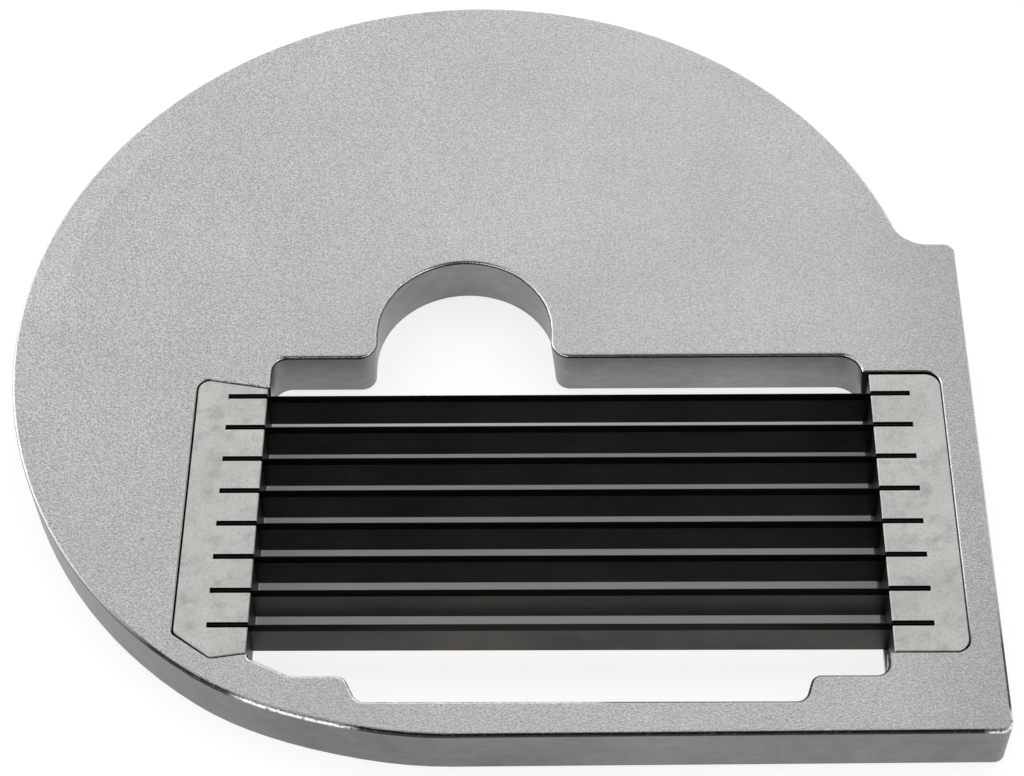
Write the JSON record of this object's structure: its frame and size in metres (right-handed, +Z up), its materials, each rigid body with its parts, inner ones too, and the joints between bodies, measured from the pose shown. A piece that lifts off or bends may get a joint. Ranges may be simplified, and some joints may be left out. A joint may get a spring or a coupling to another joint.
{
  "type": "french fry grid plate",
  "caption": "D-shaped cast plate with a food window crossed by parallel upright blades held in slotted bars; it lies under a slicing disc and cuts slices into chips",
  "frame": {"origin": "on the axis of the slicing disc, on the seat plane of the underside", "axes": "+Z up towards the slicing disc, -Y towards the straight front edge, +X towards the flat right side with the tensioned blade holder"},
  "size_m": [0.2134, 0.2029, 0.0138],
  "materials": {
    "cast_plate": "fine sand-cast, satin",
    "holders": "milled and lightly blasted",
    "blades": "dark spring steel with ground edges",
    "fasteners": "stainless"
  },
  "bodies": {
    "root": {"cutter_plate": "cast_plate", "left_blade_holder": "holders", "right_blade_holder": "holders", "blade_1": "blades", "blade_2": "blades", "blade_3": "blades", "blade_4": "blades", "blade_5": "blades", "blade_6": "blades", "blade_7": "blades", "blade_8": "blades", "left_blade_rod": "fasteners", "right_blade_rod": "fasteners", "left_holder_screw_rear": "fasteners", "left_holder_screw_front": "fasteners", "right_holder_screw_rear": "fasteners", "right_holder_screw_front": "fasteners", "tension_screw_rear": "fasteners", "tension_screw_front": "fasteners", "tension_washer_rear": "fasteners", "tension_washer_front": "fasteners"}
  },
  "joints": []
}
